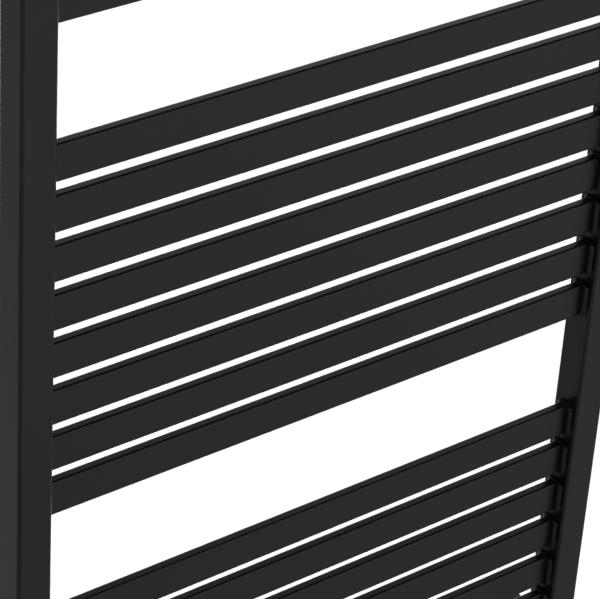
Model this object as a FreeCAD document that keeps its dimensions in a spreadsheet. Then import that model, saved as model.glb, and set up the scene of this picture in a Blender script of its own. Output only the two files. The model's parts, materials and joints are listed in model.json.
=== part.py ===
import FreeCAD, Part
import math
import os
import re
from FreeCAD import Rotation, Vector
import Sketcher

# A wall-hung ladder towel warmer: two square posts joined by flat bars in three groups.
# +X is to the right, +Y into the wall and +Z up. The wall is the plane Y = 0, and the
# origin is the centre of the rectangle that the four wall fixings make.

SIZES = [
    ("overall_width", 600, "outer face to outer face of the posts"),
    ("overall_height", 1200, "end to end of the posts"),
    ("post_width", 30, "post tube across the front"),
    ("post_depth", 30, "post tube from front to back"),
    ("post_wall", 1.5, "wall of the post tube"),
    ("post_corner", 3, "outer corner radius of the post tube"),
    ("bar_height", 31, "bar tube, upright side"),
    ("bar_depth", 8, "bar tube, front to back"),
    ("bar_wall", 1.2, "wall of the bar tube"),
    ("bar_corner", 1.5, "outer corner radius of the bar tube"),
    ("bar_pitch", 41.4, "from one bar to the next in a group"),
    ("upper_bars", 6, "bars in the upper group"),
    ("middle_bars", 8, "bars in the middle group"),
    ("lower_bars", 10, "bars in the lower group"),
    ("open_slots", 2, "bars left out of each towel opening"),
    ("slot_clearance", 0.1, "about a bar in its slot"),
    ("bead_radius", 4.5, "round face of the weld bead about a bar"),
    ("bead_root", 0.5, "centre of that round, within the bar's face"),
    ("end_height", 18, "threaded block at each end of a post"),
    ("port_radius", 9.32, "bore of a half inch pipe thread"),
    ("port_chamfer", 1, "lead-in of the port"),
    ("thread_clearance", 0.05, "about a shank in its port"),
    ("wall_gap", 50, "wall to the back of the posts"),
    ("fixing_height", 900, "between the lower and the upper wall fixings"),
    ("stem_radius", 8, "round stem on the post's back"),
    ("stem_end_gap", 12, "wall to the free end of the stem"),
    ("stem_chamfer", 1, "lead-in at the free end of the stem"),
    ("sleeve_clearance", 0.05, "about the stem in its sleeve"),
    ("sleeve_wall", 3, "wall of the sleeve"),
    ("sleeve_length", 35, "wall to the mouth of the sleeve"),
    ("foot_radius", 17, "disc of the wall foot"),
    ("foot_depth", 3, "disc of the wall foot"),
    ("fixing_radius", 3.2, "hole for the wall screw"),
    ("rosette_radius", 22, "cover over the wall foot"),
    ("rosette_depth", 8, "cover over the wall foot"),
    ("rosette_wall", 1.5, "cover over the wall foot"),
    ("rosette_edge", 2, "rounded front edge of the cover"),
    ("rosette_clearance", 0.1, "about the sleeve in the cover"),
    ("lock_radius", 3, "lock screw"),
    ("lock_length", 6, "lock screw"),
    ("lock_place", 25, "wall to the axis of the lock screw"),
    ("lock_clearance", 0.05, "about the lock screw, and before its tip"),
    ("lock_socket", 1.5, "half the flats of the lock screw's socket"),
    ("lock_socket_depth", 3, "socket of the lock screw"),
    ("shank_length", 10, "thread of the vent and of the plug"),
    ("cap_radius", 12.5, "head of the vent and of the plug"),
    ("cap_depth", 5, "head of the vent and of the plug"),
    ("cap_edge", 1, "rounded rim of those heads"),
    ("seal_radius", 11.5, "flat seal under a head"),
    ("seal_depth", 1.5, "flat seal under a head"),
    ("plug_socket", 4, "half the flats of the blind plug's socket"),
    ("plug_socket_depth", 4, "socket of the blind plug"),
    ("outlet_radius", 8.5, "swivelling outlet ring"),
    ("outlet_height", 7, "swivelling outlet ring"),
    ("outlet_recess", 2.5, "seat of the ring in the vent's head"),
    ("outlet_clearance", 0.1, "about the ring, and about the screw in it"),
    ("nozzle_radius", 1.8, "nozzle of the outlet ring"),
    ("nozzle_bore", 0.9, "nozzle of the outlet ring"),
    ("nozzle_reach", 15, "vent axis to the nozzle's tip"),
    ("nozzle_lift", 0.3, "vent head to the nozzle above it"),
    ("bleed_radius", 3, "shank of the bleed screw"),
    ("bleed_shank", 9, "shank of the bleed screw"),
    ("bleed_clearance", 0.05, "about the bleed screw, and under its collar"),
    ("collar_radius", 5, "collar of the bleed screw"),
    ("collar_depth", 4, "collar of the bleed screw"),
    ("key_size", 5, "square end of the bleed screw"),
    ("key_height", 5, "square end of the bleed screw"),
]

UPRIGHT = Rotation()
UPSIDE_DOWN = Rotation(Vector(1, 0, 0), 180)
HALF_TURN = Rotation(Vector(0, 0, 1), 180)
TO_WALL = Rotation(Vector(1, 0, 0), -90)
FROM_WALL = Rotation(Vector(1, 0, 0), 90)
ALONG_X = Rotation(Vector(0, 1, 0), 90)
HEXAGON = 6

# Places and sizes that several pieces share, as expressions on the sheet's names.
POST_X = "(overall_width - post_width) / 2"
POST_Y = "-(wall_gap + post_depth / 2)"
TOP_Z = "overall_height / 2"
FIXING_Z = "fixing_height / 2"
BAR_LENGTH = "overall_width - 2 * post_width + 2 * post_wall"
FIRST_BAR_Z = "(upper_bars + middle_bars + lower_bars + 2 * open_slots - 1) * bar_pitch / 2"
GROUPS = {
    "upper": f"{FIRST_BAR_Z}",
    "middle": f"{FIRST_BAR_Z} - (upper_bars + open_slots) * bar_pitch",
    "lower": f"{FIRST_BAR_Z} - (upper_bars + middle_bars + 2 * open_slots) * bar_pitch",
}
SLEEVE_BORE = "stem_radius + sleeve_clearance"
SLEEVE_RADIUS = "stem_radius + sleeve_clearance + sleeve_wall"
SHANK_RADIUS = "port_radius - thread_clearance"
CAP_TOP = "seal_depth + cap_depth"
SEAT_Z = "seal_depth + cap_depth - outlet_recess"
NOZZLE_Z = "seal_depth + cap_depth + nozzle_lift + nozzle_radius"

doc = FreeCAD.newDocument("TowelWarmer")
sheet = doc.addObject("Spreadsheet::Sheet", "Sizes")
for row, (alias, value, note) in enumerate(SIZES, start=1):
    sheet.set(f"A{row}", note)
    sheet.set(f"B{row}", str(value))
    sheet.setAlias(f"B{row}", alias)
doc.recompute()
ALIASES = {alias for alias, value, note in SIZES}


def on_sheet(expression):
    """The expression with each size's name led by the sheet's."""
    return re.sub("[a-z_]+", lambda word: "Sizes." * (word[0] in ALIASES) + word[0], expression)


def bind(item, **expressions):
    """Ties properties to the sheet; two underscores in a name stand for a dot."""
    for name, expression in expressions.items():
        item.setExpression(name.replace("__", "."), on_sheet(expression))


def value_of(expression):
    return float(sheet.evalExpression(on_sheet(expression)))


def new_body(label, turn, x="0", y="0", z="0"):
    body = doc.addObject("PartDesign::Body", label)
    body.Label = label
    body.Placement.Rotation = turn
    bind(body, Placement__Base__x=x, Placement__Base__y=y, Placement__Base__z=z)
    return body


def origin_feature(body, role):
    return next(item for item in body.Origin.OriginFeatures if item.Role == role)


# Sketches. Each is drawn about its own origin, which its attachment offset places.


def new_sketch(body, name, role, x="0", y="0", above="0"):
    sketch = body.newObject("Sketcher::SketchObject", name)
    sketch.AttachmentSupport = (origin_feature(body, role), [""])
    sketch.MapMode = "FlatFace"
    bind(
        sketch,
        AttachmentOffset__Base__x=x,
        AttachmentOffset__Base__y=y,
        AttachmentOffset__Base__z=above,
    )
    return sketch


def dimension(sketch, expression, kind, *where):
    """A driving dimension of a sketch, tied to the sheet."""
    place = sketch.addConstraint(Sketcher.Constraint(kind, *where, value_of(expression)))
    sketch.setExpression(f"Constraints[{place}]", on_sheet(expression))


def rounded_rectangle(sketch, across, up, corner):
    """Lines 0, 2, 4 and 6 are the bottom, right, top and left; the arcs lie between."""
    a, b, r = value_of(across) / 2, value_of(up) / 2, value_of(corner)
    corners = [(a, -b), (a, b), (-a, b), (-a, -b)]
    for side, (x, y) in enumerate(corners):
        from_x, from_y = corners[side - 1]
        step_x = math.copysign(r, x - from_x) if side % 2 == 0 else 0
        step_y = math.copysign(r, y - from_y) if side % 2 else 0
        start = Vector(from_x + step_x, from_y + step_y)
        end = Vector(x - step_x, y - step_y)
        sketch.addGeometry(Part.LineSegment(start, end))
        centre = Vector(x - math.copysign(r, x), y - math.copysign(r, y))
        turn = math.pi / 2 * (side - 1)
        circle = Part.Circle(centre, Vector(0, 0, 1), r)
        sketch.addGeometry(Part.ArcOfCircle(circle, turn, turn + math.pi / 2))
    for piece in range(8):
        sketch.addConstraint(Sketcher.Constraint("Tangent", piece, 2, (piece + 1) % 8, 1))
    for line, kind in ((0, "Horizontal"), (2, "Vertical"), (4, "Horizontal"), (6, "Vertical")):
        sketch.addConstraint(Sketcher.Constraint(kind, line))
    for arc in (3, 5, 7):
        sketch.addConstraint(Sketcher.Constraint("Equal", 1, arc))
    sketch.addConstraint(Sketcher.Constraint("Symmetric", 0, 1, 4, 1, -1, 1))
    dimension(sketch, across, "DistanceX", 6, 1, 2, 1)
    dimension(sketch, up, "DistanceY", 0, 1, 4, 1)
    dimension(sketch, corner, "Radius", 1)


def quarter_disc(sketch, radius):
    r = value_of(radius)
    origin, right, top = Vector(0, 0), Vector(r, 0), Vector(0, r)
    sketch.addGeometry(Part.LineSegment(origin, right))
    sketch.addGeometry(Part.ArcOfCircle(Part.Circle(origin, Vector(0, 0, 1), r), 0, math.pi / 2))
    sketch.addGeometry(Part.LineSegment(top, origin))
    for piece in range(3):
        sketch.addConstraint(Sketcher.Constraint("Coincident", piece, 2, (piece + 1) % 3, 1))
    sketch.addConstraint(Sketcher.Constraint("Coincident", 0, 1, -1, 1))
    sketch.addConstraint(Sketcher.Constraint("Coincident", 1, 3, -1, 1))
    sketch.addConstraint(Sketcher.Constraint("Horizontal", 0))
    sketch.addConstraint(Sketcher.Constraint("Vertical", 2))
    dimension(sketch, radius, "Radius", 1)


# Features.


def pad(body, name, sketch, length, side="One side"):
    feature = body.newObject("PartDesign::Pad", name)
    feature.Profile = sketch
    feature.SideType = side
    bind(feature, Length=length)
    return feature


def pocket(body, name, sketch, length=None, side="One side"):
    """Cuts against the sketch's normal, or right through where no length is given."""
    feature = body.newObject("PartDesign::Pocket", name)
    feature.Profile = sketch
    feature.SideType = side
    if length is None:
        feature.Type = "ThroughAll"
    else:
        bind(feature, Length=length)
    return feature


def round_feature(body, kind, name, radius, length, start="0", turn=UPRIGHT):
    """A cylinder that adds or subtracts, along the body's Z from start unless turned."""
    feature = body.newObject(f"PartDesign::{kind}Cylinder", name)
    feature.Placement.Rotation = turn
    bind(feature, Radius=radius, Height=length, Placement__Base__z=start)
    return feature


def hexagon_socket(body, name, half_flats, depth, mouth):
    feature = body.newObject("PartDesign::SubtractivePrism", name)
    feature.Polygon = HEXAGON
    bind(
        feature,
        Circumradius=f"({half_flats}) / cos(30)",
        Height=depth,
        Placement__Base__z=f"{mouth} - ({depth})",
    )
    return feature


def edges_at(shape, height, radius):
    """Names of the round edges of that radius in the plane at that height."""
    found = []
    for number, edge in enumerate(shape.Edges, start=1):
        flat = edge.BoundBox.ZLength < 1e-6 and abs(edge.BoundBox.ZMin - height) < 1e-6
        if flat and isinstance(edge.Curve, Part.Circle) and abs(edge.Curve.Radius - radius) < 1e-6:
            found.append(f"Edge{number}")
    return found


def dress_edge(body, kind, name, base, height, radius, amount):
    """A Fillet or Chamfer on the round edge of the base at that height and radius."""
    doc.recompute()
    names = edges_at(base.Shape, value_of(height), value_of(radius))
    feature = body.newObject(f"PartDesign::{kind}", name)
    feature.Base = (base, names)
    if kind == "Fillet":
        bind(feature, Radius=amount)
    else:
        bind(feature, Size=amount)
    return feature


# Sub-parts.


def make_post(label, turn, x):
    """Square tube with a slot and a weld bead for each bar in its local +X wall."""
    body = new_body(label, turn, x=x, y=POST_Y)
    outside = new_sketch(body, f"{label}_outside", "XY_Plane")
    rounded_rectangle(outside, "post_width", "post_depth", "post_corner")
    pad(body, f"{label}_tube", outside, "overall_height - 2 * end_height", "Symmetric")
    inside = new_sketch(body, f"{label}_inside", "XY_Plane")
    inner_width = "post_width - 2 * post_wall"
    inner_depth = "post_depth - 2 * post_wall"
    rounded_rectangle(inside, inner_width, inner_depth, "post_corner - post_wall")
    pocket(body, f"{label}_hollow", inside, side="Symmetric")
    for group, first_z in GROUPS.items():
        name = f"{label}_{group}"
        face = "post_width / 2"
        path = new_sketch(body, f"{name}_bar_outline", "YZ_Plane", y=first_z, above=face)
        rounded_rectangle(
            path,
            "bar_depth - 2 * bead_root",
            "bar_height - 2 * bead_root",
            "bar_corner - bead_root",
        )
        middle = f"{first_z} + bar_height / 2 - bead_root"
        section = new_sketch(body, f"{name}_bead_section", "XZ_Plane", x=face, y=middle)
        quarter_disc(section, "bead_radius")
        bead = body.newObject("PartDesign::AdditivePipe", f"{name}_bead")
        bead.Profile = section
        bead.Spine = (path, [f"Edge{number}" for number in range(1, 9)])
        mouth = new_sketch(
            body, f"{name}_slot_outline", "YZ_Plane", y=first_z, above=f"{face} + bead_radius"
        )
        rounded_rectangle(
            mouth,
            "bar_depth + 2 * slot_clearance",
            "bar_height + 2 * slot_clearance",
            "bar_corner + slot_clearance",
        )
        slot = pocket(body, f"{name}_slot", mouth, "bead_radius + 2 * post_wall")
        row = body.newObject("PartDesign::LinearPattern", f"{name}_row")
        row.Originals = [bead, slot]
        row.Direction = (origin_feature(body, "Z_Axis"), [""])
        row.Reversed = True
        row.Mode = "Spacing"
        bind(row, Offset="bar_pitch", Occurrences=f"{group}_bars")
        body.Tip = row
    return body


def make_bar(label, z):
    """Flat tube whose ends pass through the walls of both posts."""
    body = new_body(label, UPRIGHT, y=POST_Y, z=z)
    outside = new_sketch(body, f"{label}_outside", "YZ_Plane")
    rounded_rectangle(outside, "bar_depth", "bar_height", "bar_corner")
    pad(body, f"{label}_tube", outside, BAR_LENGTH, "Symmetric")
    inside = new_sketch(body, f"{label}_inside", "YZ_Plane")
    inner_depth = "bar_depth - 2 * bar_wall"
    inner_height = "bar_height - 2 * bar_wall"
    rounded_rectangle(inside, inner_depth, inner_height, "bar_corner - bar_wall")
    pocket(body, f"{label}_hollow", inside, side="Symmetric")
    return body


def make_end_block(label, turn, x, z):
    """Block that closes a post; its port opens on the local Z = 0 face."""
    body = new_body(label, turn, x=x, y=POST_Y, z=z)
    outline = new_sketch(body, f"{label}_outline", "XY_Plane")
    rounded_rectangle(outline, "post_width", "post_depth", "post_corner")
    pad(body, f"{label}_block", outline, "end_height")
    round_feature(body, "Subtractive", f"{label}_port", "port_radius", "end_height")
    lead_in = body.newObject("PartDesign::SubtractiveCone", f"{label}_lead_in")
    bind(
        lead_in,
        Radius1="port_radius + port_chamfer",
        Radius2="port_radius",
        Height="port_chamfer",
    )
    return body


def make_foot(label, x, z):
    """Disc on the wall with a sleeve that takes the stem; local Z leads off the wall."""
    body = new_body(label, FROM_WALL, x=x, z=z)
    round_feature(body, "Additive", f"{label}_disc", "foot_radius", "foot_depth")
    round_feature(body, "Additive", f"{label}_sleeve", SLEEVE_RADIUS, "sleeve_length")
    depth = "sleeve_length - foot_depth"
    round_feature(body, "Subtractive", f"{label}_bore", SLEEVE_BORE, depth, "foot_depth")
    round_feature(body, "Subtractive", f"{label}_fixing", "fixing_radius", "foot_depth")
    hole = "lock_radius + lock_clearance"
    reach = "foot_radius"
    round_feature(body, "Subtractive", f"{label}_lock", hole, reach, "lock_place", FROM_WALL)
    return body


def make_rosette(label, x, z):
    """Shallow cup over the foot's disc that slides on the sleeve."""
    body = new_body(label, FROM_WALL, x=x, z=z)
    cup = round_feature(body, "Additive", f"{label}_cup", "rosette_radius", "rosette_depth")
    dress_edge(
        body, "Fillet", f"{label}_edge", cup, "rosette_depth", "rosette_radius", "rosette_edge"
    )
    inner_radius = "rosette_radius - rosette_wall"
    inner_depth = "rosette_depth - rosette_wall"
    round_feature(body, "Subtractive", f"{label}_hollow", inner_radius, inner_depth)
    hole = f"{SLEEVE_RADIUS} + rosette_clearance"
    round_feature(body, "Subtractive", f"{label}_hole", hole, "rosette_depth")
    return body


def make_stem(label, x, z):
    """Round stem butted and welded to the post's back; local Z leads to the wall."""
    body = new_body(label, TO_WALL, x=x, y="-wall_gap", z=z)
    length = "wall_gap - stem_end_gap"
    rod = round_feature(body, "Additive", f"{label}_rod", "stem_radius", length)
    dress_edge(body, "Chamfer", f"{label}_lead_in", rod, length, "stem_radius", "stem_chamfer")
    return body


def make_lock_screw(label, x, z):
    """Headless screw under the sleeve whose tip bears on the stem."""
    body = new_body(label, UPSIDE_DOWN, x=x, y="-lock_place", z=z)
    tip = "stem_radius + lock_clearance"
    round_feature(body, "Additive", f"{label}_shank", "lock_radius", "lock_length", tip)
    mouth = f"{tip} + lock_length"
    hexagon_socket(body, f"{label}_socket", "lock_socket", "lock_socket_depth", mouth)
    return body


def make_seal(label, x):
    body = new_body(label, UPRIGHT, x=x, y=POST_Y, z=TOP_Z)
    round_feature(body, "Additive", f"{label}_disc", "seal_radius", "seal_depth")
    round_feature(body, "Subtractive", f"{label}_hole", "port_radius", "seal_depth")
    return body


def cap_and_shank(body, label):
    """Round head on the seal with a shank in the port; local Z = 0 is the post's end."""
    start = "seal_depth - shank_length"
    round_feature(body, "Additive", f"{label}_shank", SHANK_RADIUS, "shank_length", start)
    cap = round_feature(body, "Additive", f"{label}_cap", "cap_radius", "cap_depth", "seal_depth")
    dress_edge(body, "Fillet", f"{label}_rim", cap, CAP_TOP, "cap_radius", "cap_edge")


def make_plug(label, x):
    body = new_body(label, UPRIGHT, x=x, y=POST_Y, z=TOP_Z)
    cap_and_shank(body, label)
    hexagon_socket(body, f"{label}_socket", "plug_socket", "plug_socket_depth", CAP_TOP)
    return body


def make_vent_body(label, x):
    body = new_body(label, UPRIGHT, x=x, y=POST_Y, z=TOP_Z)
    cap_and_shank(body, label)
    seat = "outlet_radius + outlet_clearance"
    round_feature(body, "Subtractive", f"{label}_seat", seat, "outlet_recess", SEAT_Z)
    channel = "bleed_radius + bleed_clearance"
    start = "seal_depth - shank_length"
    round_feature(body, "Subtractive", f"{label}_channel", channel, "shank_length + cap_depth", start)
    return body


def make_outlet_ring(label, x):
    """Ring that turns in the vent's head, with a nozzle to lead the water aside."""
    body = new_body(label, UPRIGHT, x=x, y=POST_Y, z=TOP_Z)
    base = f"{SEAT_Z} + bleed_clearance"
    round_feature(body, "Additive", f"{label}_ring", "outlet_radius", "outlet_height", base)
    nozzle = ("nozzle_reach", NOZZLE_Z, ALONG_X)
    round_feature(body, "Additive", f"{label}_nozzle", "nozzle_radius", *nozzle)
    round_feature(body, "Subtractive", f"{label}_nozzle_bore", "nozzle_bore", *nozzle)
    hole = "collar_radius + outlet_clearance"
    round_feature(body, "Subtractive", f"{label}_hole", hole, "outlet_height", base)
    return body


def make_bleed_screw(label, x):
    body = new_body(label, UPRIGHT, x=x, y=POST_Y, z=TOP_Z)
    base = f"{SEAT_Z} + bleed_clearance"
    length = "bleed_shank + collar_depth"
    start = f"{base} - bleed_shank"
    round_feature(body, "Additive", f"{label}_shank", "bleed_radius", length, start)
    round_feature(body, "Additive", f"{label}_collar", "collar_radius", "collar_depth", base)
    key = body.newObject("PartDesign::AdditiveBox", f"{label}_key")
    bind(
        key,
        Length="key_size",
        Width="key_size",
        Height="key_height",
        Placement__Base__x="-key_size / 2",
        Placement__Base__y="-key_size / 2",
        Placement__Base__z=f"{base} + collar_depth",
    )
    return body


def make_all():
    left, right = f"-({POST_X})", POST_X
    bodies = [make_post("left_post", UPRIGHT, left), make_post("right_post", HALF_TURN, right)]
    for group, first_z in GROUPS.items():
        for place in range(int(value_of(f"{group}_bars"))):
            z = f"{first_z} - {place} * bar_pitch"
            bodies.append(make_bar(f"{group}_bar_{place + 1:02d}", z))
    for side, x in (("left", left), ("right", right)):
        bodies.append(make_end_block(f"lower_{side}_end_block", UPRIGHT, x, f"-({TOP_Z})"))
        bodies.append(make_end_block(f"upper_{side}_end_block", UPSIDE_DOWN, x, TOP_Z))
        for level, z in (("lower", f"-({FIXING_Z})"), ("upper", FIXING_Z)):
            bodies.append(make_foot(f"{level}_{side}_wall_foot", x, z))
            bodies.append(make_rosette(f"{level}_{side}_rosette", x, z))
            bodies.append(make_stem(f"{level}_{side}_stem", x, z))
            bodies.append(make_lock_screw(f"{level}_{side}_lock_screw", x, z))
    bodies.append(make_seal("vent_seal", left))
    bodies.append(make_vent_body("vent_body", left))
    bodies.append(make_outlet_ring("vent_outlet_ring", left))
    bodies.append(make_bleed_screw("bleed_screw", left))
    bodies.append(make_seal("plug_seal", right))
    bodies.append(make_plug("blind_plug", right))
    return bodies


def check(bodies):
    """Stops before anything is written if a feature failed, cut nothing or left no solid."""
    failed = [item.Label for item in doc.Objects if {"Invalid", "Error"} & set(item.State)]
    for item in doc.Objects:
        if item.TypeId.startswith("PartDesign::Subtractive") or item.TypeId == "PartDesign::Pocket":
            if item.Shape.Volume >= item.BaseFeature.Shape.Volume:
                failed.append(item.Label)
    for body in bodies:
        shape = body.Shape
        if shape.isNull() or not shape.isValid() or len(shape.Solids) != 1:
            failed.append(body.Label)
    if failed:
        raise RuntimeError(f"these failed: {failed}")


bodies = make_all()
doc.recompute()
check(bodies)
os.makedirs("parts", exist_ok=True)
for body in bodies:
    body.Shape.exportStep(f"parts/{body.Label}.step")
print(f"{len(bodies)} sub-parts")
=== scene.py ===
import json
import math

import bmesh
import bpy
from mathutils import Matrix, Vector, noise

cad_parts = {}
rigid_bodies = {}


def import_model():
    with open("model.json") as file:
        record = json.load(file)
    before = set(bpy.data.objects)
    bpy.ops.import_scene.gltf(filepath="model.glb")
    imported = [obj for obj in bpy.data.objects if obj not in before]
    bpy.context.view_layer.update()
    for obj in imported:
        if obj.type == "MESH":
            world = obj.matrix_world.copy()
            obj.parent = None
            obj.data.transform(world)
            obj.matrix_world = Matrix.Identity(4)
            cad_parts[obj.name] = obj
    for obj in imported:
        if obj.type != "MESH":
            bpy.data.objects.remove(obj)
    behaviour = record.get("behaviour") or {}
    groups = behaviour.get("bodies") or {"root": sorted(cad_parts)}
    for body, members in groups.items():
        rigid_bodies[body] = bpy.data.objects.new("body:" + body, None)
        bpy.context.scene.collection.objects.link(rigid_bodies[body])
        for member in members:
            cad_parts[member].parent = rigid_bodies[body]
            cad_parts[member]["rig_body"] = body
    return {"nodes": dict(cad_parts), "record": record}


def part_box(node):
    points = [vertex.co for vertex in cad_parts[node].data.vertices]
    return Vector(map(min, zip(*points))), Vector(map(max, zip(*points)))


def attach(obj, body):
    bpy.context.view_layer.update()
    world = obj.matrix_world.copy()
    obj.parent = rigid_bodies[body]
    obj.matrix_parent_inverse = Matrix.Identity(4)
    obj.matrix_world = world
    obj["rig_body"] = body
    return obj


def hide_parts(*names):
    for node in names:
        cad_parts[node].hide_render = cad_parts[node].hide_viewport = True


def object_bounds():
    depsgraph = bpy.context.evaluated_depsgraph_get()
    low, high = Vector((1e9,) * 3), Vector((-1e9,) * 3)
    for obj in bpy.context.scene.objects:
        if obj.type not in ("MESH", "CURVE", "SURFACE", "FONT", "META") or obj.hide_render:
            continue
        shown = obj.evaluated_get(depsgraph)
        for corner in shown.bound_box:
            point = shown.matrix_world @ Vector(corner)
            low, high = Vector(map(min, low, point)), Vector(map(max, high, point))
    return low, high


# A wall-hung ladder towel warmer in black powder coat: two square posts, three groups of
# flat bars welded between them, wall brackets behind, a bleed vent and a blind plug on top.
# Metres and degrees. +X is to the right, +Y into the wall and +Z up.

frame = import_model()
CAD_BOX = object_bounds()
MM = 0.001

BAR_NODES = sorted(name for name in frame["nodes"] if "_bar_" in name)
SIDES = {"left": 1, "right": -1}  # the way each post faces the bars
LEVELS = ("lower", "upper")

# Camera: a long lens from the upper left, turned a little on its own axis.
AIM = Vector((-0.0385, -0.069, 0.0405))
CAMERA_DISTANCE = 2.1953
CAMERA_AZIMUTH = -38.931
CAMERA_ELEVATION = 32.299
CAMERA_ROLL = 3.954
LENS = 170.34
SENSOR = 36
FARTHEST_SEEN = 100

# The floor, the dome round it and the lamp above.
FLOOR_HALF_WIDTH = 30
RACK_ABOVE_FLOOR = 0.15
FLOOR_GRAIN = 9
FLOOR_DARK, FLOOR_LIGHT = (0.9, 0.9, 0.9), (0.94, 0.94, 0.94)
DOME_RADIUS = 28
DOME_SHADES = [(0.0, 1.0), (0.25, 1.0), (1.0, 0.75)]
LAMP_STRENGTH = 3.3
LAMP_WIDTH = 60
LAMP_TILT = (-12, -8, 0)

# How bright the surroundings are at each height, from straight down (0) to straight up (1).
GLOW_STRENGTH = 2.34
FRONT_GLOW = [
    (0.0, 0.3),
    (0.19, 0.27),
    (0.235, 0.6),
    (0.28, 0.8),
    (0.42, 1.0),
    (0.5, 0.9),
    (0.56, 0.06),
    (1.0, 0.04),
]
BACK_GLOW = [
    (0.0, 0.7),
    (0.26, 0.78),
    (0.49, 0.8),
    (0.52, 0.43),
    (0.725, 0.43),
    (0.89, 0.05),
    (1.0, 0.04),
]
# How that light falls off from far left (0) to far right (1).
FRONT_FADE = [(0.0, 0.55), (0.25, 0.55), (0.65, 1.0), (0.742, 1.0), (0.792, 0.66), (0.85, 0.5)]
BACK_FADE = [(0.0, 0.3), (0.55, 0.3), (0.74, 1.0), (1.0, 1.0)]
# Where the light in front gives way to the light behind, from the room (0) to the wall (1).
FRONT_TO_BACK = [(0.4, 0.0), (0.6, 1.0)]

# The tubes of the rack.
POST_CORNER = 3 * MM
POST_WALL = 1.5 * MM
BAR_CORNER = 1.5 * MM
BAR_WALL = 1.2 * MM
SLOT_CLEARANCE = 0.1 * MM
CORNER_STEPS = 8
WALL_REACH = 1.1 * POST_WALL  # far enough in to take in both skins of a post's wall
SQUARE_ON = 0.99  # the least part of a normal that lies along X on such a skin
CUT_TOLERANCE = 1e-7

# The weld bead round a bar's end.
BEAD_PROUD = 3.0 * MM
BEAD_FRONT = 5.5 * MM
BEAD_ABOVE = 1.6 * MM
BEAD_ROUNDING = 5 * MM  # how far from its ends the bead's outer edge starts to curve in
BEAD_PULL = 2 * MM
BEAD_PITCH = 1.2 * MM
BEAD_STEPS = 10
BEAD_SINK = 0.4 * MM  # how deep every bead's foot goes into the post

# The weld bead round a stem's foot.
STEM_BEAD_PROUD = 2.6 * MM
STEM_BEAD_WIDE = 3.0 * MM
STEM_BEAD_GAP = 0.05 * MM
STEM_BEAD_SIDES = 64

# How uneven the beads are, where they stand clear of the post.
BEAD_UNEVEN = 0.1 * MM
BEAD_EVEN_FOOT = 0.3 * MM
COARSE_RIPPLE = 260
FINE_RIPPLE = 620
FINE_RIPPLE_SHARE = 0.6

# How wide each small piece's edges are eased, by the end of its name.
EASED = {
    "wall_foot": 0.4 * MM,
    "rosette": 0.3 * MM,
    "stem": 0.2 * MM,
    "lock_screw": 0.25 * MM,
    "vent_body": 0.2 * MM,
    "vent_outlet_ring": 0.35 * MM,
    "bleed_screw": 0.35 * MM,
    "blind_plug": 0.2 * MM,
    "end_block": 0.8 * MM,
}
EASED_STEPS = 3
CRISP_ANGLE = 35
BEAD_CRISP_ANGLE = 60
FLAT_ANGLE = 0.5
SAME_POINT = 1e-6
SEAM_TOLERANCE = 0.01 * MM

# The bleed screw's shank, below its head.
SHANK_LENGTH = 9.01 * MM
SHANK_REACH = 3.03 * MM  # just over its radius
SHANK_SLIMMER = 0.96

# How fine each finish's patterns are, and how deep they go.
COAT_CLOUD, COAT_PEEL, COAT_GRAIN = 7, 420, 2600
METAL_CLOUD, METAL_MARKS = 40, 900
MOULDED_CLOUD, MOULDED_GRAIN = 60, 1800
PEEL_DEPTH = 0.06 * MM
GRAIN_DEPTH = 0.02 * MM
MOULDED_DEPTH = 0.03 * MM

ALONG_X = Matrix.Rotation(math.radians(90), 4, "Y")
TO_WALL = Matrix.Rotation(math.radians(-90), 4, "X")


# Nodes.


class Wire:
    """One socket of a node tree. Arithmetic on it adds Math nodes."""

    def __init__(self, tree, socket):
        self.tree = tree
        self.socket = socket

    def maths(self, operation, *values):
        return self.tree.node("ShaderNodeMath", {"operation": operation}, *values)

    def __add__(self, other):
        return self.maths("ADD", self, other)

    __radd__ = __add__

    def __mul__(self, other):
        return self.maths("MULTIPLY", self, other)

    __rmul__ = __mul__

    def __sub__(self, other):
        return self.maths("SUBTRACT", self, other)

    def __rsub__(self, other):
        return self.maths("SUBTRACT", other, self)


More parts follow.
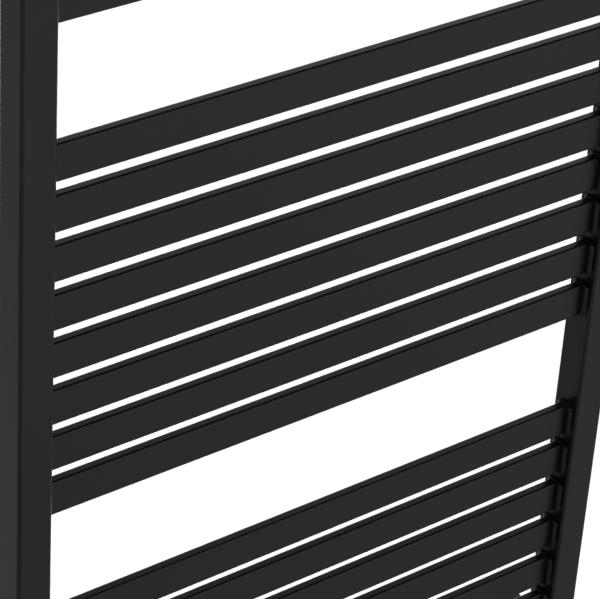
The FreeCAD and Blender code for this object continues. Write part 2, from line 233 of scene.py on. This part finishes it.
class Finish:
    """The nodes of a surface finish, or of the light all round."""

    def __init__(self, owner):
        owner.use_nodes = True
        owner.node_tree.nodes.clear()
        self.owner = owner
        self.nodes = owner.node_tree.nodes
        self.links = owner.node_tree.links

    def node(self, kind, settings=None, *values, out=0, **named):
        """Adds a node. Values go to its sockets, in their order or by name: a Wire is
        linked, and None leaves a socket as it is."""
        node = self.nodes.new(kind)
        for name, value in (settings or {}).items():
            if name == "stops":
                self.set_stops(node.color_ramp, value)
            else:
                setattr(node, name, value)
        inputs = list(enumerate(values)) + [(k.replace("_", " "), v) for k, v in named.items()]
        for key, value in inputs:
            socket = node.inputs[key]
            if isinstance(value, Wire):
                self.links.new(value.socket, socket)
            elif value is not None:
                socket.default_value = value
        return Wire(self, node.outputs[out]) if len(node.outputs) else node

    @staticmethod
    def set_stops(ramp, stops):
        while len(ramp.elements) < len(stops):
            ramp.elements.new(1)
        for element, (place, shade) in zip(ramp.elements, stops):
            element.position = place
            element.color = (shade, shade, shade, 1)

    def ramp(self, stops, factor):
        return self.node("ShaderNodeValToRGB", {"stops": stops}, factor)

    def place(self):
        return self.node("ShaderNodeTexCoord", out="Object")

    def part_of(self, vector, axis):
        return self.node("ShaderNodeSeparateXYZ", None, vector, out=axis)

    def noise(self, where, scale, detail, roughness=0.5):
        return self.node(
            "ShaderNodeTexNoise",
            Vector=where,
            Scale=scale,
            Detail=detail,
            Roughness=roughness,
        )

    def between(self, factor, dark, light):
        """A colour that goes from dark to light as factor goes from 0 to 1."""
        skipped = [None] * 5  # the sockets for its other kinds of value
        colours = [(*colour, 1) for colour in (dark, light)]
        settings = {"data_type": "RGBA", "blend_type": "MIX"}
        return self.node("ShaderNodeMix", settings, factor, *skipped, *colours, out=2)

    def bump(self, height, strength, depth, normal=None):
        return self.node(
            "ShaderNodeBump", Strength=strength, Distance=depth, Height=height, Normal=normal
        )

    def surface(self, **sockets):
        shader = self.node("ShaderNodeBsdfPrincipled", None, **sockets)
        self.node("ShaderNodeOutputMaterial", Surface=shader)
        return self.owner


def new_finish(name):
    return Finish(bpy.data.materials.new(name))


def times(tone, factor):
    """The same tone, darker or lighter."""
    return tuple(factor * part for part in tone)


# Making pieces.


def new_object(name, bm, crisp_angle=CRISP_ANGLE):
    """Turns a bmesh into an object at the origin, with crisp edges and even shading."""
    mesh = bpy.data.meshes.new(name)
    bm.to_mesh(mesh)
    bm.free()
    mesh.shade_smooth()
    mesh.set_sharp_from_angle(angle=math.radians(crisp_angle))
    piece = bpy.data.objects.new(name, mesh)
    bpy.context.scene.collection.objects.link(piece)
    even = piece.modifiers.new("even_shading", "WEIGHTED_NORMAL")
    even.keep_sharp = True
    even.weight = 100
    return piece


def turn_and_place(bm, turn, place):
    bmesh.ops.transform(bm, matrix=Matrix.Translation(place) @ turn, verts=bm.verts)


def lying_outline(bm, across, up, corner):
    """A flat rectangle with rounded corners, in the XY plane about the origin."""
    bmesh.ops.create_grid(bm, x_segments=1, y_segments=1, size=0.5)
    bmesh.ops.scale(bm, vec=(across, up, 1), verts=bm.verts)
    bmesh.ops.bevel(
        bm,
        geom=bm.verts,
        offset=corner,
        offset_type="OFFSET",
        segments=CORNER_STEPS,
        profile=0.5,
        affect="VERTICES",
        material=-1,
    )
    return bm.faces[:]


def make_tube(across, up, length, corner, wall):
    """A rounded rectangular tube with open ends, along Z from 0."""
    bm = bmesh.new()
    outline = lying_outline(bm, across, up, corner)
    bmesh.ops.inset_individual(bm, faces=outline, thickness=wall, use_even_offset=True)
    bmesh.ops.delete(bm, geom=outline, context="FACES_ONLY")
    ring = bmesh.ops.extrude_face_region(bm, geom=bm.faces)["geom"]
    moved = [item for item in ring if isinstance(item, bmesh.types.BMVert)]
    bmesh.ops.translate(bm, verts=moved, vec=(0, 0, length))
    bmesh.ops.recalc_face_normals(bm, faces=bm.faces)
    return bm


# Bars and posts.


def make_bar(node):
    """A flat tube from inside one post to inside the other."""
    low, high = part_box(node)
    size = high - low
    bm = make_tube(size.z, size.y, size.x, BAR_CORNER, BAR_WALL)
    centre = (low + high) / 2
    turn_and_place(bm, ALONG_X, (low.x, centre.y, centre.z))
    piece = new_object(f"{node}_tube", bm)
    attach(piece, "radiator")
    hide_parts(node)
    return piece


def once_each(items):
    """The items in their own order, without repeats."""
    return list(dict.fromkeys(items))


def cut_across(bm, place, normal, faces=None):
    """Adds edges where a plane meets the given faces, or all of them."""
    geometry = bm.verts[:] + bm.edges[:] + bm.faces[:]
    if faces is not None:
        edges = once_each(edge for face in faces for edge in face.edges)
        verts = once_each(vert for edge in edges for vert in edge.verts)
        geometry = verts + edges + faces
    bmesh.ops.bisect_plane(
        bm, geom=geometry, dist=CUT_TOLERANCE, plane_co=place, plane_no=normal
    )


def make_post(side):
    """A square tube with a slot for each bar in the wall that faces the bars."""
    lower, upper = (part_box(f"{level}_{side}_end_block") for level in LEVELS)
    size = lower[1] - lower[0]
    centre = (lower[0] + lower[1]) / 2
    foot, head = lower[1].z, upper[0].z
    bm = make_tube(size.x, size.y, head - foot, POST_CORNER, POST_WALL)
    bmesh.ops.translate(bm, verts=bm.verts, vec=(centre.x, centre.y, foot))

    bars = [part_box(node) for node in BAR_NODES]
    slots = [(low.z - SLOT_CLEARANCE, high.z + SLOT_CLEARANCE) for low, high in bars]
    front, back = bars[-1][0].y - SLOT_CLEARANCE, bars[-1][1].y + SLOT_CLEARANCE
    inner_face = centre.x + SIDES[side] * size.x / 2

    def on_slotted_wall(face):
        near = abs(face.calc_center_median().x - inner_face) < WALL_REACH
        return near and abs(face.normal.x) > SQUARE_ON

    def in_slot(face, bottom, top):
        middle = face.calc_center_median()
        inside = bottom < middle.z < top and front < middle.y < back
        return inside and on_slotted_wall(face)

    for slot in slots:
        for height in slot:
            cut_across(bm, (0, 0, height), (0, 0, 1))
    for edge_y in (front, back):
        wall = [face for face in bm.faces if on_slotted_wall(face)]
        cut_across(bm, (0, edge_y, 0), (0, 1, 0), wall)
    mouths = [[face for face in bm.faces if in_slot(face, *slot)] for slot in slots]
    for mouth in mouths:
        edges = once_each(edge for face in mouth for edge in face.edges)
        rim = [edge for edge in edges if sum(face in mouth for face in edge.link_faces) == 1]
        bmesh.ops.delete(bm, geom=mouth, context="FACES_ONLY")
        bmesh.ops.bridge_loops(bm, edges=rim)
    bmesh.ops.recalc_face_normals(bm, faces=bm.faces)
    piece = new_object(f"{side}_post_tube", bm)
    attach(piece, "radiator")
    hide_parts(f"{side}_post")
    return piece


# Weld beads.


def bead_section(start, wide, proud):
    """A quarter of an ellipse, from its crest at start to its foot at wide."""
    section = [(start, -BEAD_SINK)]
    top = math.acos(start / wide)
    for step in range(BEAD_STEPS + 1):
        angle = top * (1 - step / BEAD_STEPS)
        section.append((wide * math.cos(angle), proud * math.sin(angle)))
    return section + [(wide, -BEAD_SINK)]


def swept_ring(bm, core, corner, section):
    """Sweeps a section of (outward, height) points round the outline that bm holds, and
    closes it. A point moves straight out from the outline's core."""

    def spread(verts, outward, height):
        for vert in verts:
            root = Vector([max(-half, min(half, at)) for half, at in zip(core, vert.co)])
            way = (vert.co.xy - root).normalized()
            spot = root + way * (corner + outward)
            vert.co = (spot.x, spot.y, height)

    first = rim = bm.edges[:]
    spread(bm.verts, *section[0])
    for outward, height in section[1:]:
        grown = bmesh.ops.extrude_edge_only(bm, edges=rim)["geom"]
        rim = [item for item in grown if isinstance(item, bmesh.types.BMEdge)]
        spread([item for item in grown if isinstance(item, bmesh.types.BMVert)], outward, height)
    bmesh.ops.bridge_loops(bm, edges=first + rim)
    bmesh.ops.recalc_face_normals(bm, faces=bm.faces)


def add_bead(bm_all, bm, turn, place, outwards):
    """Sets a bead in its place, roughens what stands proud and adds it to the others."""
    turn_and_place(bm, turn, place)
    bm.normal_update()
    for vert in bm.verts:
        if (vert.co - Vector(place)).dot(outwards) > BEAD_EVEN_FOOT:
            coarse = noise.noise(vert.co * COARSE_RIPPLE)
            ripple = coarse + FINE_RIPPLE_SHARE * noise.noise(vert.co * FINE_RIPPLE)
            vert.co += vert.normal * ripple * BEAD_UNEVEN
    ring = bpy.data.meshes.new("bead")
    bm.to_mesh(ring)
    bm.free()
    bm_all.from_mesh(ring)
    bpy.data.meshes.remove(ring)


def make_bead(bm_all, node, side):
    """The weld bead round one end of a bar: a rounded ring standing on the post. It is
    wide in front of and behind the bar, and narrower above and below it."""
    low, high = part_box(node)
    centre = (low + high) / 2
    tall, deep = high.z - low.z, high.y - low.y
    post_low, post_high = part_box(f"lower_{side}_end_block")
    face_x = post_high.x if side == "left" else post_low.x
    bm = bmesh.new()
    lying_outline(bm, tall, deep, BAR_CORNER)
    for edge in [edge for edge in bm.edges if edge.calc_length() > BAR_CORNER]:
        cuts = int(edge.calc_length() / BEAD_PITCH)
        bmesh.ops.subdivide_edges(bm, edges=[edge], cuts=cuts)
    bmesh.ops.delete(bm, geom=bm.faces[:], context="FACES_ONLY")
    core = (tall / 2 - BAR_CORNER, deep / 2 - BAR_CORNER)
    swept_ring(bm, core, BAR_CORNER, bead_section(SLOT_CLEARANCE, BEAD_FRONT, BEAD_PROUD))
    for vert in bm.verts:
        place = abs(vert.co.x)
        if place > tall / 2:
            place = tall / 2 + (place - tall / 2) * BEAD_ABOVE / BEAD_FRONT
        aside = max(0, abs(vert.co.y) - deep / 2) / BEAD_FRONT
        near_end = max(0, place - tall / 2 + BEAD_ROUNDING) / BEAD_ROUNDING
        place -= BEAD_PULL * aside**2 * near_end**2
        vert.co.x = math.copysign(place, vert.co.x)
    facing = SIDES[side]
    turn = Matrix.Rotation(math.radians(90 * facing), 4, "Y")
    add_bead(bm_all, bm, turn, (face_x, centre.y, centre.z), Vector((facing, 0, 0)))


def make_stem_bead(bm_all, level, side):
    """The weld bead round the foot of a stem, on the back of the post."""
    low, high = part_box(f"{level}_{side}_stem")
    centre = (low + high) / 2
    radius = (high.x - low.x) / 2
    bm = bmesh.new()
    bmesh.ops.create_circle(bm, segments=STEM_BEAD_SIDES, radius=radius)
    section = bead_section(STEM_BEAD_GAP, STEM_BEAD_WIDE, STEM_BEAD_PROUD)
    swept_ring(bm, (0, 0), radius, section)
    add_bead(bm_all, bm, TO_WALL, (centre.x, low.y, centre.z), Vector((0, 1, 0)))


def make_welds(side):
    """All the weld beads on one post, as one piece."""
    bm = bmesh.new()
    for node in BAR_NODES:
        make_bead(bm, node, side)
    for level in LEVELS:
        make_stem_bead(bm, level, side)
    piece = new_object(f"{side}_post_welds", bm, BEAD_CRISP_ANGLE)
    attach(piece, "radiator")
    return piece


# Brackets, vent, plug and end blocks.


def slim_shank(bm, name):
    """Takes a little off the bleed screw's shank, so that it turns free in its channel."""
    low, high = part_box(name)
    middle = (low + high) / 2
    for vert in bm.verts:
        arm = vert.co.xy - middle.xy
        if arm.length < SHANK_REACH and vert.co.z < low.z + SHANK_LENGTH:
            arm *= SHANK_SLIMMER
            vert.co.xy = middle.xy + arm


def seam_height(name):
    """Where an end block meets its post, so that its edges stay crisp there."""
    low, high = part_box(name)
    return high.z if name.startswith("lower") else low.z


def ease_edges(name, width, seam=None):
    """A copy of a small turned or milled piece with its edges eased, but not at a seam."""
    node = frame["nodes"][name]
    bm = bmesh.new()
    bm.from_mesh(node.data)
    bmesh.ops.remove_doubles(bm, verts=bm.verts, dist=SAME_POINT)
    bmesh.ops.dissolve_limit(
        bm,
        angle_limit=math.radians(FLAT_ANGLE),
        verts=bm.verts,
        edges=bm.edges,
        delimit={"SHARP"},
    )
    bmesh.ops.recalc_face_normals(bm, faces=bm.faces)
    if name == "bleed_screw":
        slim_shank(bm, name)
    edges = []
    for edge in bm.edges:
        crisp = edge.is_manifold and edge.calc_face_angle() > math.radians(CRISP_ANGLE)
        joined = seam is not None and all(
            abs(vert.co.z - seam) < SEAM_TOLERANCE for vert in edge.verts
        )
        if crisp and not joined:
            edges.append(edge)
    bmesh.ops.bevel(
        bm,
        geom=edges,
        offset=width,
        offset_type="OFFSET",
        segments=EASED_STEPS,
        profile=0.5,
        affect="EDGES",
        material=-1,
    )
    piece = new_object(f"{name}_eased", bm)
    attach(piece, node["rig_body"])
    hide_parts(name)
    return piece


# Finishes.


def powder_coat(name, tone, roughness):
    """Fine satin black powder coat: almost level, with a faint soft grain."""
    coat = new_finish(name)
    where = coat.place()
    cloud = coat.noise(where, COAT_CLOUD, detail=3)
    grain = coat.noise(where, COAT_GRAIN, detail=2)
    peel = coat.noise(where, COAT_PEEL, detail=3, roughness=0.55)
    level = coat.bump(peel, strength=0.35, depth=PEEL_DEPTH)
    return coat.surface(
        Base_Color=coat.between(cloud * 0.5 + grain * 0.5, times(tone, 0.8), times(tone, 1.2)),
        Roughness=roughness - 0.03 + cloud * 0.04 + grain * 0.04,
        Specular_IOR_Level=0.17,
        Normal=coat.bump(grain, strength=0.2, depth=GRAIN_DEPTH, normal=level),
    )


def plain_metal(name, tone, roughness, scratch):
    """Turned and plated metal with fine tool marks."""
    metal = new_finish(name)
    where = metal.place()
    marks = metal.noise(where, METAL_MARKS, detail=4, roughness=0.6)
    cloud = metal.noise(where, METAL_CLOUD, detail=2)
    return metal.surface(
        Base_Color=metal.between(cloud, times(tone, 0.85), tone),
        Metallic=1.0,
        Roughness=roughness - 0.05 + marks * 0.1,
        Normal=metal.bump(marks, strength=scratch, depth=GRAIN_DEPTH),
    )


def moulded(name, tone, roughness):
    """Fine matt grain of moulded plastic or rubber."""
    moulding = new_finish(name)
    where = moulding.place()
    grain = moulding.noise(where, MOULDED_GRAIN, detail=3)
    cloud = moulding.noise(where, MOULDED_CLOUD, detail=2)
    return moulding.surface(
        Base_Color=moulding.between(cloud, times(tone, 0.8), tone),
        Roughness=roughness - 0.05 + grain * 0.1,
        Specular_IOR_Level=0.35,
        Normal=moulding.bump(grain, strength=0.4, depth=MOULDED_DEPTH),
    )


# Lights, floor and camera.


def make_camera():
    camera = bpy.data.objects.new("camera", bpy.data.cameras.new("camera"))
    camera.data.lens = LENS
    camera.data.sensor_width = SENSOR
    camera.data.clip_end = FARTHEST_SEEN
    turn = (
        Matrix.Rotation(math.radians(CAMERA_AZIMUTH), 4, "Z")
        @ Matrix.Rotation(math.radians(90 - CAMERA_ELEVATION), 4, "X")
        @ Matrix.Rotation(math.radians(CAMERA_ROLL), 4, "Z")
    )
    back = turn.to_3x3() @ Vector((0, 0, 1))
    camera.matrix_world = Matrix.Translation(AIM + back * CAMERA_DISTANCE) @ turn
    bpy.context.scene.collection.objects.link(camera)
    bpy.context.scene.camera = camera


def make_floor():
    bm = bmesh.new()
    bmesh.ops.create_grid(bm, x_segments=1, y_segments=1, size=FLOOR_HALF_WIDTH)
    bmesh.ops.translate(bm, verts=bm.verts, vec=(0, 0, CAD_BOX[0][2] - RACK_ABOVE_FLOOR))
    floor = new_object("floor", bm)
    finish = new_finish("floor_paint")
    grain = finish.noise(finish.place(), FLOOR_GRAIN, detail=3)
    shade = finish.between(grain, FLOOR_DARK, FLOOR_LIGHT)
    floor.data.materials.append(finish.surface(Base_Color=shade, Roughness=0.9))
    floor.visible_glossy = False  # so that the gloss shows the even light all round


def make_backdrop():
    """A plain pale dome beyond the floor. Only the camera sees it."""
    bm = bmesh.new()
    bmesh.ops.create_uvsphere(bm, u_segments=64, v_segments=32, radius=DOME_RADIUS)
    bmesh.ops.reverse_faces(bm, faces=bm.faces)
    backdrop = new_object("backdrop", bm)
    finish = new_finish("backdrop_paper")
    height = finish.part_of(finish.place(), "Z") * (1 / DOME_RADIUS)
    shade = finish.ramp(DOME_SHADES, height)
    glow = finish.node("ShaderNodeEmission", Color=shade, Strength=1.0)
    finish.node("ShaderNodeOutputMaterial", Surface=glow)
    backdrop.data.materials.append(finish.owner)
    backdrop.visible_glossy = False
    backdrop.visible_diffuse = False
    backdrop.visible_shadow = False


def light_all_round():
    """Pale light from low down, under a dim ceiling. It fades to the right in front of
    the rack and to the left behind it."""
    studio = Finish(bpy.data.worlds.new("studio"))
    bpy.context.scene.world = studio.owner
    direction = studio.node("ShaderNodeTexCoord", out="Generated")
    # Each way of looking, from -1 to 1, is brought to 0 to 1.
    across, along, up = (studio.part_of(direction, axis) * 0.5 + 0.5 for axis in "XYZ")
    behind = studio.ramp(FRONT_TO_BACK, along)
    front = studio.ramp(FRONT_GLOW, up) * studio.ramp(FRONT_FADE, across)
    back = studio.ramp(BACK_GLOW, up) * studio.ramp(BACK_FADE, across)
    glow = front * (1 - behind) + back * behind
    background = studio.node("ShaderNodeBackground", Color=glow, Strength=GLOW_STRENGTH)
    studio.node("ShaderNodeOutputWorld", Surface=background)


def make_lamp():
    """One broad soft lamp overhead, which the shiny parts don't mirror."""
    lamp = bpy.data.lights.new("overhead", "SUN")
    lamp.energy = LAMP_STRENGTH
    lamp.angle = math.radians(LAMP_WIDTH)
    holder = bpy.data.objects.new("overhead", lamp)
    holder.rotation_euler = [math.radians(angle) for angle in LAMP_TILT]
    holder.visible_glossy = False
    bpy.context.scene.collection.objects.link(holder)


make_camera()
make_floor()
make_backdrop()
light_all_round()
make_lamp()

FINISHES = {
    "powder_coat": powder_coat("black_powder_coat", (0.003, 0.003, 0.0031), 0.3),
    "bracket_coat": powder_coat("bracket_powder_coat", (0.0046, 0.0046, 0.0048), 0.38),
    "black_steel": plain_metal("blackened_steel", (0.05, 0.05, 0.052), 0.4, 0.3),
    "black_nickel": plain_metal("black_nickel_plate", (0.13, 0.125, 0.12), 0.22, 0.12),
    "outlet_plastic": moulded("black_moulded_plastic", (0.018, 0.018, 0.018), 0.5),
    "bare_brass": plain_metal("turned_brass", (0.72, 0.5, 0.2), 0.3, 0.25),
    "seal_rubber": moulded("seal_rubber", (0.012, 0.012, 0.012), 0.75),
}

for row in frame["record"]["subparts"]:
    node = frame["nodes"][row["node"]]
    for holder in node.material_slots:
        holder.material = FINISHES[row["material_slot"]]

rack = [make_post(side) for side in SIDES]
rack += [make_welds(side) for side in SIDES]
rack += [make_bar(node) for node in BAR_NODES]
for piece in rack:
    piece.data.materials.append(FINISHES["powder_coat"])

for row in frame["record"]["subparts"]:
    name, slot = row["node"], row["material_slot"]
    for kind, width in EASED.items():
        if name.endswith(kind):
            seam = seam_height(name) if kind == "end_block" else None
            piece = ease_edges(name, width, seam)
            piece.data.materials.clear()
            piece.data.materials.append(FINISHES[slot])

bpy.context.scene.view_settings.view_transform = "Standard"
